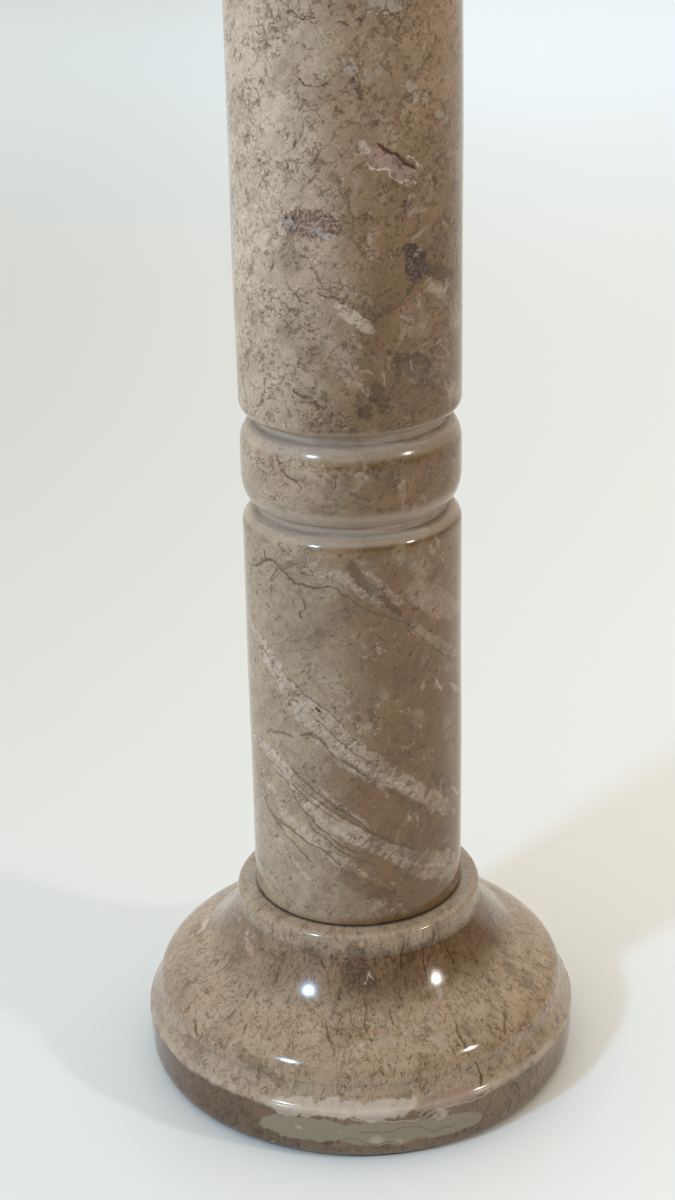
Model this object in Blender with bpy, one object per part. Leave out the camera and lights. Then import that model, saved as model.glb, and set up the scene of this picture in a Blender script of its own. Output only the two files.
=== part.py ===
"""Turned marble column on a round moulded base, as a reusable part.

Frame: metres, +Z up along the turning axis, origin at the centre of the underside.
Three pieces of stone stand on each other: base, shaft and capital.
"""
import math

import bmesh
import bpy

MM = 0.001

# Driving dimensions, in millimetres.
STEPS = 60                # facets round every turned piece
SMOOTH_ANGLE = 32.0       # degrees: edges bent more than this stay crisp
SHAFT_R = 75.0            # shaft and ring: one bar of stone
REST_GAP = 0.3            # bed joint between two pieces that rest on each other
DRUM_LENGTH = 292.0       # plain drum below the ring, and again above it

BASE_HEIGHT = 138.0
FOOT_R = 158.0            # widest radius: the lip on top of the plinth disc
FOOT_FACE_R = 157.0       # upright face of the plinth disc
FOOT_ARRIS_R = 10.0       # rounding between the plinth's face and its underside
FOOT_ARRIS_Z = 16.0
LIP_Z = 41.5              # height of the lip
LIP_ARRIS_R = 1.5         # small rounding along the lip's edge
LIP_ARRIS_Z = 3.5
VALLEY_R = 148.5          # hollow line between the lip and the bulge
VALLEY_Z = 55.0
BULGE_R = 149.0           # widest radius of the bulge above the hollow line
BULGE_Z = 58.0
SHELF_R = 122.0           # where the bulge's flat shoulder turns into the cove
SHELF_Z = 83.5
SHELF_SLOPE = 0.42        # fall of the shoulder there, height for each radius
COVE_R = 106.0            # corner that the cove is drawn towards, below the seat
SEAT_R = 88.5             # ring on top of the base that carries the shaft
SEAT_HEIGHT = 17.0
SEAT_ARRIS = 5.0

RING_LENGTH = 62.0        # between the floors of the two turned grooves
GROOVE_FLOOR_R = 65.0     # radius left at the bottom of each groove
GROOVE_FLOOR = 3.0        # half the width of a groove's flat floor
LOW_SLOPE_R = 10.0        # how far the lower drum's top slopes in
LOW_SLOPE_Z = 9.5
HIGH_SLOPE_R = 10.0       # how far the upper drum's foot slopes in
HIGH_SLOPE_Z = 8.5
RING_FOOT_Z = 20.0        # rounded foot of the ring
RING_HEAD_Z = 16.0        # rounded head of the ring

CAP_HEIGHT = 105.0
CAP_R = 140.0             # round slab that a load rests on
CAP_SLAB = 30.0
CAP_ARRIS = 6.0
CAP_COLLAR_R = 88.5       # collar where the capital sits on the shaft
CAP_COLLAR = 17.0
CAP_STEP = 4.0            # short slope from the collar to the neck
CAP_NECK_R = 85.0         # neck of the hollow moulding above the collar
CAP_FLARE_R = 124.0       # where the hollow moulding meets the slab
CAP_FILLET = 6.0          # upright line between the hollow moulding and the slab

# Heights that follow from the sizes above.
SEAT_FOOT_Z = BASE_HEIGHT - SEAT_HEIGHT
COVE_Z = SHELF_Z + SHELF_SLOPE * (SHELF_R - COVE_R)
SHOULDER_Z = SHELF_Z - SHELF_SLOPE * (BULGE_R - SHELF_R)
SHAFT_FOOT_Z = BASE_HEIGHT + REST_GAP
LOW_GROOVE_Z = SHAFT_FOOT_Z + DRUM_LENGTH
HIGH_GROOVE_Z = LOW_GROOVE_Z + RING_LENGTH
SHAFT_TOP_Z = HIGH_GROOVE_Z + DRUM_LENGTH
CAP_FOOT_Z = SHAFT_TOP_Z + REST_GAP
CAP_TOP_Z = CAP_FOOT_Z + CAP_HEIGHT


def rounded(start, end, count, bulge):
    """Quarter-ellipse points from start to end, without the first.

    bulge "out" leaves the first point upright and meets the last one level;
    bulge "in" leaves the first point level and meets the last one upright.
    """
    points = []
    for step in range(1, count + 1):
        turn = 0.5 * math.pi * step / count
        if bulge == "out":
            share_r, share_z = 1.0 - math.cos(turn), math.sin(turn)
        else:
            share_r, share_z = math.sin(turn), 1.0 - math.cos(turn)
        points.append((start[0] + (end[0] - start[0]) * share_r,
                       start[1] + (end[1] - start[1]) * share_z))
    return points


def bent(start, corner, end, count):
    """Points of one smooth bend from start to end, drawn towards corner, without the first."""
    points = []
    for step in range(1, count + 1):
        t = step / count
        shares = ((1.0 - t) ** 2, 2.0 * t * (1.0 - t), t * t)
        points.append(tuple(shares[0] * a + shares[1] * b + shares[2] * c
                            for a, b, c in zip(start, corner, end)))
    return points


def base_profile():
    """Outer side of the base from the underside up, as (radius, height)."""
    # Plinth disc: rounded foot, upright face, and a lip with a small arris.
    underside = (FOOT_FACE_R - FOOT_ARRIS_R, 0.0)
    lip_foot = (FOOT_R, LIP_Z - LIP_ARRIS_Z)
    points = [underside]
    points += rounded(underside, (FOOT_FACE_R, FOOT_ARRIS_Z), 3, "in")
    points.append(lip_foot)
    points += rounded(lip_foot, (FOOT_R - LIP_ARRIS_R, LIP_Z), 2, "out")
    # Sloping band down to the hollow line, then the bulge, its shoulder and the cove.
    bulge, shelf = (BULGE_R, BULGE_Z), (SHELF_R, SHELF_Z)
    points += [(VALLEY_R, VALLEY_Z), bulge]
    points += bent(bulge, (BULGE_R, SHOULDER_Z), shelf, 7)
    points += bent(shelf, (COVE_R, COVE_Z), (SEAT_R, SEAT_FOOT_Z), 8)
    # Seat ring that carries the shaft.
    seat_arris = (SEAT_R, BASE_HEIGHT - SEAT_ARRIS)
    points.append(seat_arris)
    points += rounded(seat_arris, (SEAT_R - SEAT_ARRIS, BASE_HEIGHT), 3, "out")
    return points


def shaft_profile():
    """Drum, groove, ring, groove and drum, all turned from one bar."""
    points = [(SHAFT_R, SHAFT_FOOT_Z)]
    low_top = (SHAFT_R, LOW_GROOVE_Z - GROOVE_FLOOR - LOW_SLOPE_Z)
    points.append(low_top)
    points += rounded(low_top, (SHAFT_R - LOW_SLOPE_R, LOW_GROOVE_Z - GROOVE_FLOOR), 3, "out")
    ring_foot = (GROOVE_FLOOR_R, LOW_GROOVE_Z + GROOVE_FLOOR)
    points.append(ring_foot)
    points += rounded(ring_foot, (SHAFT_R, ring_foot[1] + RING_FOOT_Z), 4, "in")
    ring_head = (SHAFT_R, HIGH_GROOVE_Z - GROOVE_FLOOR - RING_HEAD_Z)
    points.append(ring_head)
    points += rounded(ring_head, (GROOVE_FLOOR_R, HIGH_GROOVE_Z - GROOVE_FLOOR), 4, "out")
    high_foot = (GROOVE_FLOOR_R, HIGH_GROOVE_Z + GROOVE_FLOOR)
    points.append(high_foot)
    points += rounded(high_foot, (SHAFT_R, high_foot[1] + HIGH_SLOPE_Z), 3, "in")
    points.append((SHAFT_R, SHAFT_TOP_Z))
    return points


def capital_profile():
    """Collar, hollow moulding and round slab, plainer than the base."""
    underside = (CAP_COLLAR_R - SEAT_ARRIS, CAP_FOOT_Z)
    neck = (CAP_NECK_R, CAP_FOOT_Z + CAP_COLLAR + CAP_STEP)
    slab_z = CAP_TOP_Z - CAP_SLAB
    slab_foot, slab_head = (CAP_R - CAP_ARRIS, slab_z), (CAP_R, CAP_TOP_Z - CAP_ARRIS)
    points = [underside]
    points += rounded(underside, (CAP_COLLAR_R, CAP_FOOT_Z + SEAT_ARRIS), 3, "in")
    points += [(CAP_COLLAR_R, CAP_FOOT_Z + CAP_COLLAR), neck]
    points += rounded(neck, (CAP_FLARE_R, slab_z - CAP_FILLET), 6, "out")
    points += [(CAP_FLARE_R, slab_z), slab_foot]
    points += rounded(slab_foot, (CAP_R, slab_z + CAP_ARRIS), 3, "in")
    points.append(slab_head)
    points += rounded(slab_head, (CAP_R - CAP_ARRIS, CAP_TOP_Z), 3, "out")
    return points


def marble(name, colour, roughness):
    material = bpy.data.materials.new(name)
    material.use_nodes = True
    shader = material.node_tree.nodes["Principled BSDF"]
    shader.inputs["Base Color"].default_value = (*colour, 1.0)
    shader.inputs["Roughness"].default_value = roughness
    shader.inputs["Metallic"].default_value = 0.0
    return material


def turned(name, profile, colour, roughness):
    """Closed solid swept once round Z from an upward profile of (radius, height)."""
    mesh = bpy.data.meshes.new(name)
    shape = bmesh.new()
    rings = []
    for radius, height in profile:
        ring = []
        for step in range(STEPS):
            turn = 2.0 * math.pi * step / STEPS
            ring.append(shape.verts.new((radius * math.cos(turn) * MM,
                                         radius * math.sin(turn) * MM, height * MM)))
        rings.append(ring)
    for lower, upper in zip(rings, rings[1:]):
        for step in range(STEPS):
            after = (step + 1) % STEPS
            shape.faces.new((lower[step], lower[after], upper[after], upper[step]))
    shape.faces.new(list(reversed(rings[0])))
    shape.faces.new(rings[-1])
    shape.normal_update()
    shape.to_mesh(mesh)
    shape.free()
    mesh.materials.append(marble(name, colour, roughness))
    for polygon in mesh.polygons:
        polygon.use_smooth = True
    mesh.set_sharp_from_angle(angle=math.radians(SMOOTH_ANGLE))
    solid = bpy.data.objects.new(name, mesh)
    bpy.context.scene.collection.objects.link(solid)
    return solid


for existing in list(bpy.data.objects):
    bpy.data.objects.remove(existing, do_unlink=True)

turned("base", base_profile(), (0.23, 0.18, 0.15), 0.2)
turned("shaft", shaft_profile(), (0.26, 0.22, 0.19), 0.2)
turned("capital", capital_profile(), (0.24, 0.19, 0.16), 0.2)
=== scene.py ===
"""Looks of the turned marble column: fine meshes, polished fossil marble, light and camera."""
import math

import bpy
import numpy as np
from mathutils import Matrix, Vector


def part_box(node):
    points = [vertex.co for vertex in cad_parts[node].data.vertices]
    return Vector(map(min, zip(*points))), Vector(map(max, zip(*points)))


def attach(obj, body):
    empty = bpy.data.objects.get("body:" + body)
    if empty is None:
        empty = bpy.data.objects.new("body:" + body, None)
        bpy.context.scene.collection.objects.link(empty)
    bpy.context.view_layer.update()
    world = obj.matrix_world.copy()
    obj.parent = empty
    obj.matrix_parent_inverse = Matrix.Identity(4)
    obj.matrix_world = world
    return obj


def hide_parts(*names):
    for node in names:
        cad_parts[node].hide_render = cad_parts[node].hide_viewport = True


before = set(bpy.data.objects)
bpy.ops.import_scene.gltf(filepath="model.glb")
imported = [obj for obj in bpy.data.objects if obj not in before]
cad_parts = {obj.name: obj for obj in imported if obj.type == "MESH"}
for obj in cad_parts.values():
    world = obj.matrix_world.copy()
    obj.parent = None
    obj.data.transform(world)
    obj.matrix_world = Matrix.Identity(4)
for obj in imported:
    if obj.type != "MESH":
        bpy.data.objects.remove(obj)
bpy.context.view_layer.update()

MM = 0.001

# Camera: fitted to the column's outline and turned edges in the 675 x 1200 photograph.
PHOTO_W, PHOTO_H = 675, 1200
CAMERA_PLACE = Vector((0.0, -1.353, 0.9218))
CAMERA_PITCH, CAMERA_YAW, CAMERA_ROLL = 22.725, -0.472, -1.215   # degrees: down, left, roll
FOCAL_PX = 2114.85        # focal length in pixels of the photograph
SENSOR = 36.0
RAY_NEAR, RAY_FAR, RAY_STEPS = 0.9, 1.9, 4001   # metres from the camera where stone is looked for

# Sizes of the turned forms in millimetres, as the solids have them.
SHAFT_R = 75.0
FOOT_FACE_R, FOOT_R, FOOT_ARRIS_R, FOOT_ARRIS_Z = 157.0, 158.0, 10.0, 16.0
LIP_Z, LIP_ARRIS_R, LIP_ARRIS_Z = 41.5, 1.5, 3.5
VALLEY_R, VALLEY_Z, BULGE_R, BULGE_Z = 148.5, 55.0, 149.0, 58.0
SHELF_R, SHELF_Z, SHELF_SLOPE, COVE_R = 122.0, 83.5, 0.42, 106.0
SEAT_R, SEAT_HEIGHT, SEAT_ARRIS = 88.5, 17.0, 5.0
GROOVE_FLOOR_R, GROOVE_FLOOR = 65.0, 3.0
LOW_SLOPE_R, LOW_SLOPE_Z = 10.0, 9.5
HIGH_SLOPE_Z = 8.5
RING_FOOT_Z, RING_HEAD_Z = 20.0, 16.0
DRUM_LENGTH, RING_LENGTH = 292.0, 62.0
CAP_R, CAP_SLAB, CAP_ARRIS, CAP_STEP, CAP_FILLET = 140.0, 30.0, 6.0, 4.0, 6.0
CAP_COLLAR_R, CAP_COLLAR, CAP_NECK_R, CAP_FLARE_R = 88.5, 17.0, 85.0, 124.0
EDGE_R, EDGE_Z = 1.2, 1.6                # worn edge at the shaft's foot and head

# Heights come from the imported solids.
BASE_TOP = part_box("base")[1][2] / MM
SHAFT_FOOT, SHAFT_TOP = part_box("shaft")[0][2] / MM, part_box("shaft")[1][2] / MM
CAP_FOOT, CAP_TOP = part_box("capital")[0][2] / MM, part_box("capital")[1][2] / MM
LOW_GROOVE = SHAFT_FOOT + DRUM_LENGTH
HIGH_GROOVE = LOW_GROOVE + RING_LENGTH

SEGMENTS = 360            # facets round each fine mesh
ARC_STEPS = 10            # points along a quarter turn of a moulding
RING_SPACING = 2.6        # millimetres at most between rings of vertices along a profile
SHARP_ANGLE = 50.0        # degrees: edges bent more than this stay crisp


# Turned forms

def rounded(start, end, bulge):
    """Quarter-ellipse points from start to end, without the first."""
    points = []
    for step in range(1, ARC_STEPS + 1):
        turn = 0.5 * math.pi * step / ARC_STEPS
        if bulge == "out":
            share_r, share_z = 1.0 - math.cos(turn), math.sin(turn)
        else:
            share_r, share_z = math.sin(turn), 1.0 - math.cos(turn)
        points.append((start[0] + (end[0] - start[0]) * share_r,
                       start[1] + (end[1] - start[1]) * share_z))
    return points


def bent(start, corner, end):
    """Points of one smooth bend from start to end, drawn towards corner, without the first."""
    points = []
    for step in range(1, 2 * ARC_STEPS + 1):
        t = 0.5 * step / ARC_STEPS
        shares = ((1.0 - t) ** 2, 2.0 * t * (1.0 - t), t * t)
        points.append(tuple(shares[0] * a + shares[1] * b + shares[2] * c
                            for a, b, c in zip(start, corner, end)))
    return points


def base_profile():
    """Plinth disc with its lip, hollow line, bulge, cove and seat ring, from the underside up."""
    underside, lip_foot = (FOOT_FACE_R - FOOT_ARRIS_R, 0.0), (FOOT_R, LIP_Z - LIP_ARRIS_Z)
    points = [underside]
    points += rounded(underside, (FOOT_FACE_R, FOOT_ARRIS_Z), "in")
    points.append(lip_foot)
    points += rounded(lip_foot, (FOOT_R - LIP_ARRIS_R, LIP_Z), "out")
    bulge, shelf = (BULGE_R, BULGE_Z), (SHELF_R, SHELF_Z)
    shoulder_z = SHELF_Z - SHELF_SLOPE * (BULGE_R - SHELF_R)
    cove_z = SHELF_Z + SHELF_SLOPE * (SHELF_R - COVE_R)
    points += [(VALLEY_R, VALLEY_Z), bulge]
    points += bent(bulge, (BULGE_R, shoulder_z), shelf)
    points += bent(shelf, (COVE_R, cove_z), (SEAT_R, BASE_TOP - SEAT_HEIGHT))
    seat_arris = (SEAT_R, BASE_TOP - SEAT_ARRIS)
    points.append(seat_arris)
    points += rounded(seat_arris, (SEAT_R - SEAT_ARRIS, BASE_TOP), "out")
    return points


def shaft_profile():
    """Drum, groove, ring, groove and drum."""
    points = [(SHAFT_R - EDGE_R, SHAFT_FOOT), (SHAFT_R, SHAFT_FOOT + EDGE_Z)]
    low_top = (SHAFT_R, LOW_GROOVE - GROOVE_FLOOR - LOW_SLOPE_Z)
    points.append(low_top)
    points += rounded(low_top, (SHAFT_R - LOW_SLOPE_R, LOW_GROOVE - GROOVE_FLOOR), "out")
    ring_foot = (GROOVE_FLOOR_R, LOW_GROOVE + GROOVE_FLOOR)
    points.append(ring_foot)
    points += rounded(ring_foot, (SHAFT_R, ring_foot[1] + RING_FOOT_Z), "in")
    ring_head = (SHAFT_R, HIGH_GROOVE - GROOVE_FLOOR - RING_HEAD_Z)
    points.append(ring_head)
    points += rounded(ring_head, (GROOVE_FLOOR_R, HIGH_GROOVE - GROOVE_FLOOR), "out")
    high_foot = (GROOVE_FLOOR_R, HIGH_GROOVE + GROOVE_FLOOR)
    points.append(high_foot)
    points += rounded(high_foot, (SHAFT_R, high_foot[1] + HIGH_SLOPE_Z), "in")
    points += [(SHAFT_R, SHAFT_TOP - EDGE_Z), (SHAFT_R - EDGE_R, SHAFT_TOP)]
    return points


def capital_profile():
    """Collar, hollow moulding and round slab."""
    underside = (CAP_COLLAR_R - SEAT_ARRIS, CAP_FOOT)
    neck, slab = (CAP_NECK_R, CAP_FOOT + CAP_COLLAR + CAP_STEP), CAP_TOP - CAP_SLAB
    slab_foot, slab_head = (CAP_R - CAP_ARRIS, slab), (CAP_R, CAP_TOP - CAP_ARRIS)
    points = [underside]
    points += rounded(underside, (CAP_COLLAR_R, CAP_FOOT + SEAT_ARRIS), "in")
    points += [(CAP_COLLAR_R, CAP_FOOT + CAP_COLLAR), neck]
    points += rounded(neck, (CAP_FLARE_R, slab - CAP_FILLET), "out")
    points += [(CAP_FLARE_R, slab), slab_foot]
    points += rounded(slab_foot, (CAP_R, slab + CAP_ARRIS), "in")
    points.append(slab_head)
    points += rounded(slab_head, (CAP_R - CAP_ARRIS, CAP_TOP), "out")
    return points


def even_rings(profile):
    """The profile with points added wherever two of them are far apart."""
    dense = [profile[0]]
    for (r0, z0), (r1, z1) in zip(profile, profile[1:]):
        parts = max(1, math.ceil(math.hypot(r1 - r0, z1 - z0) / RING_SPACING))
        dense += [(r0 + (r1 - r0) * i / parts, z0 + (z1 - z0) * i / parts)
                  for i in range(1, parts + 1)]
    return np.array(dense)


# Photograph to stone

def camera_axes():
    """The camera's right, up and forward directions."""
    pitch, yaw, roll = (math.radians(v) for v in (CAMERA_PITCH, CAMERA_YAW, CAMERA_ROLL))
    forward = Vector((math.sin(yaw) * math.cos(pitch), math.cos(yaw) * math.cos(pitch),
                      -math.sin(pitch)))
    level = Vector((math.cos(yaw), -math.sin(yaw), 0.0))
    up = level.cross(forward)
    right = math.cos(roll) * level + math.sin(roll) * up
    return right, -math.sin(roll) * level + math.cos(roll) * up, forward


COLUMN = np.array(base_profile() + shaft_profile())
# Radius at which the drawing chart of each piece measures round the axis.
CHART_R = {"shaft": 75.0, "base": 140.0, "capital": 140.0}


def on_stone(pixel, chart):
    """Where a photograph pixel lies on the stone: millimetres round from the front, and up."""
    right, up, forward = (np.array(axis) for axis in camera_axes())
    ray = (forward + (pixel[0] - PHOTO_W / 2) / FOCAL_PX * right
           - (pixel[1] - PHOTO_H / 2) / FOCAL_PX * up)
    reach = np.linspace(RAY_NEAR, RAY_FAR, RAY_STEPS)[:, None]
    path = (np.array(CAMERA_PLACE) + reach * ray) / MM
    gap = np.hypot(path[:, 0], path[:, 1]) - np.interp(path[:, 2], COLUMN[:, 1], COLUMN[:, 0])
    hits = np.nonzero((gap <= 0.0) & (path[:, 2] >= 0.0))[0]
    at = path[hits[0]] if len(hits) else path[np.argmin(np.abs(gap))]
    return math.atan2(at[0], -at[1]) * CHART_R[chart], at[2]


# Chips in the base's edges: photograph pixel, width and depth in millimetres.
CHIPS = [((259, 1131), 7.0, 1.6), ((566, 966), 6.0, 1.5), ((268, 1136), 5.0, 0.9)]
CHIP_RISE = 0.4           # half the height of a chip, as a share of its width

# Unevenness left by hand: millimetres, waves round the axis, millimetres up for one radian, start.
HAND_WAVES = [(0.16, 2, 61.0, 0.7), (0.10, 5, -37.0, 0.0), (0.07, 9, 23.0, 2.0)]
HAND_INSET = 0.2          # keeps the uneven surface inside the solids' size


def hand_turned(angle, z):
    """Small unevenness of hand-finished stone, in millimetres."""
    return sum(deep * np.sin(waves * angle + z / rise + start)
               for deep, waves, rise, start in HAND_WAVES) - HAND_INSET


def chipped(angle, z):
    """Depth knocked out of the base's edges, in millimetres."""
    depth = 0.0 * angle
    for pixel, width, deep in CHIPS:
        around, up = on_stone(pixel, "base")
        aside = (angle * CHART_R["base"] - around) / (0.5 * width)
        depth = depth + deep * np.exp(-aside ** 2 - ((z - up) / (CHIP_RISE * width)) ** 2)
    return depth


def turned(name, profile, slot):
    """Fine mesh of revolution from an upward profile of (radius, height), closed at both ends."""
    rings = even_rings(profile)
    angles = np.linspace(-math.pi, math.pi, SEGMENTS, endpoint=False)
    radius, height = rings[:, :1], rings[:, 1:]
    radius = radius + hand_turned(angles[None, :], height)
    if slot == "base_stone":
        radius = radius - chipped(angles[None, :], height)
    places = np.stack([radius * np.sin(angles), -radius * np.cos(angles),
                       height + 0.0 * radius], axis=-1).reshape(-1, 3) * MM
    count = len(rings)
    lower = (np.arange(count - 1)[:, None] * SEGMENTS + np.arange(SEGMENTS)).ravel()
    after = (np.arange(count - 1)[:, None] * SEGMENTS
             + (np.arange(SEGMENTS) + 1) % SEGMENTS).ravel()
    faces = np.stack([lower, after, after + SEGMENTS, lower + SEGMENTS], axis=1).tolist()
    faces.append(list(range(SEGMENTS - 1, -1, -1)))
    faces.append(list(range((count - 1) * SEGMENTS, count * SEGMENTS)))
    mesh = bpy.data.meshes.new(name)
    mesh.from_pydata(places.tolist(), [], faces)
    mesh.polygons.foreach_set("use_smooth", [True] * len(mesh.polygons))
    mesh.set_sharp_from_angle(angle=math.radians(SHARP_ANGLE))
    mesh.update()
    piece = bpy.data.objects.new(name, mesh)
    bpy.context.scene.collection.objects.link(piece)
    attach(piece, "root")
    return piece


# Patterns of the stone: cells to a metre, then detail, roughness and distortion where they matter.
PATTERNS = {
    "wander": (85.0, 5.0, 0.65), "tear": (85.0, 5.0, 0.6, 0.6),
    "broad": (9.0, 3.0, 0.55, 0.6), "clouds": (34.0, 3.0, 0.65, 0.9),
    "mottle": (150.0, 3.0, 0.7, 0.4), "grain": (520.0, 2.0, 0.6),
    "worms": (125.0, 2.0, 0.6, 1.2), "worm gaps": (230.0, 1.0), "worm patches": (40.0, 3.0, 0.6),
    "curls": (240.0, 1.0, 0.5, 0.8), "seam gaps": (90.0, 3.0), "flecks": (250.0, 3.0, 0.6, 0.4),
    "blots": (62.0, 4.0, 0.68, 0.8), "speckle": (480.0, 2.0, 0.6),
    "streaks": (60.0, 5.0, 0.62, 0.5), "wide beds": (13.0, 3.0, 0.55, 0.4),
    "crackle": (95.0, 4.0, 0.65, 1.2), "threads": (150.0, 3.0, 0.6, 0.4),
    "thread gaps": (50.0, 2.0), "hairs": (16.0, 5.0, 0.62, 0.8), "hair gaps": (24.0, 2.0),
    "polish": (150.0, 2.0), "scores": (28.0, 3.0, 0.6), "ground patches": (55.0, 3.0, 0.6),
    "lip highlight": (60.0, 4.0, 0.6),
    # These four have their cells to a millimetre, round a ring and up.
    "dashes": (0.27, 3.0, 0.6, 0.5), "dash gaps": (0.06, 3.0, 0.6),
    "dash threads": (0.13, 3.0, 0.6, 0.8), "dash thread gaps": (0.2, 1.0)}
SEAM_CELLS, SHELL_CELLS, PIT_CELLS = 34.0, 95.0, 62.0         # cells to a metre
# How strongly each mark covers or darkens the stone, from 0 to 1.
STRENGTHS = {
    "dark clouds": 0.30, "pale clouds": 0.30, "worms": 0.75, "curls": 0.6, "seams": 0.7,
    "flecks": 0.7, "blots": 0.45, "pale blots": 0.35, "hidden beds": 0.7, "crackle": 0.9,
    "hairs": 0.7, "shells": 0.45, "pits": 0.7, "dashes": 0.8, "dash threads": 0.8,
    "pale dashes": 0.3, "shaft foot": 0.7, "groove rim": 0.45, "seat rim light": 0.15, "joint": 0.6,
    "lip slope light": 0.15, "lip highlight": 0.6}
# The darker right is partly the stone's own tone and partly painted shade.
TONE_SHADE_EDGES, TONE_DRIFT = (-0.7, 0.25), 1.1   # where left tone meets right, and how unevenly
SMALL_MARKS = {"shaft": (0.40, 1.0), "base": 0.7, "capital": 0.7}   # their share, low and high up
POLISH = (0.10, 0.16)     # roughness of the polished stone
RIM_DULL, GROUND_DULL, LEDGE_DULL = 0.17, 0.55, 0.45     # roughness of the unpolished places
# Fine scores round the grooves: closeness, strength, and depth in metres.
SCORE_SQUASH, SCORE_BUMP, SCORE_DEPTH = (1.0, 1.0, 40.0), 0.25, 0.0006
WANDER_REACH = 9.0        # millimetres: drawn features stray by up to half of this
SEAM_WAVE = 0.02          # metres: seams stray by up to half of this
# Dashes: radius of their ring, how radius counts as height, and how slowly they change with it.
DASH_RING, DASH_SLOPE, DASH_STRETCH = 140.0, 0.9, 0.3
FEATURE_ENDS = 0.12       # share of a drawn line over which each end tapers
TORN_EDGE = (0.34, 0.58)  # between these a torn mask goes from nothing to whole
FLAKE_TEAR = 2.4          # flakes are torn this much more than bands
BED_TURN = (0.1, 0.85, 0.0)              # slant of the beds, in radians
BED_SQUASH, TEAR_SQUASH, FLECK_SQUASH = (0.25, 0.25, 1.0), (0.5, 0.5, 1.0), (2.0, 2.0, 1.0)


# Node helpers

class Sheet:
    """Short names for the nodes that the stone is made of."""

    def __init__(self, name):
        self.material = bpy.data.materials.new(name)
        self.material.use_nodes = True
        self.tree = self.material.node_tree
        self.shader = self.tree.nodes["Principled BSDF"]

    def add(self, kind, inputs=(), **settings):
        node = self.tree.nodes.new(kind)
        for key, value in settings.items():
            setattr(node, key, value)
        for key, value in dict(inputs).items():
            self.put(value, node.inputs[key])
        return node

    def put(self, value, socket):
        """Link value to the socket where it is one itself, or else set the socket to it."""
        if isinstance(value, bpy.types.NodeSocket):
            self.tree.links.new(value, socket)
        else:
            socket.default_value = value

    def parts(self, vector):
        """The three numbers that a vector is made of."""
        return self.add("ShaderNodeSeparateXYZ", {0: vector}).outputs

    def math(self, operation, a, b=0.0):
        return self.add("ShaderNodeMath", {0: a, 1: b}, operation=operation).outputs[0]

    def vector(self, operation, a, b=(0.0, 0.0, 0.0)):
        node = self.add("ShaderNodeVectorMath", {0: a, 1: b}, operation=operation)
        return node.outputs["Value"] if operation == "LENGTH" else node.outputs[0]

    def ramp(self, value, low, high, start=0.0, end=1.0, kind="SMOOTHSTEP"):
        return self.add("ShaderNodeMapRange", {"Value": value, "From Min": low, "From Max": high,
                                               "To Min": start, "To Max": end},
                        interpolation_type=kind).outputs["Result"]

    def cells(self, vector, scale, kind="F1"):
        """Distance to the middle, or to the edge, of the nearest of scattered cells."""
        return self.add("ShaderNodeTexVoronoi", {"Vector": vector, "Scale": scale},
                        feature=kind).outputs["Distance"]

    def curve(self, share, knots):
        """Smooth curve through the knots, read at share."""
        node = self.add("ShaderNodeFloatCurve", {"Value": share})
        track = node.mapping.curves[0]
        track.points[0].location, track.points[1].location = knots[0], knots[-1]
        for knot in knots[1:-1]:
            track.points.new(*knot)
        node.mapping.update()
        return node.outputs[0]

    def mix(self, share, a, b, blend="MIX"):
        node = self.add("ShaderNodeMix", data_type="RGBA", blend_type=blend)
        for value, socket in ((share, node.inputs[0]), (a, node.inputs[6]), (b, node.inputs[7])):
            if isinstance(value, tuple):
                value = (*value, 1.0)
            self.put(value, socket)
        return node.outputs[2]


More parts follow.
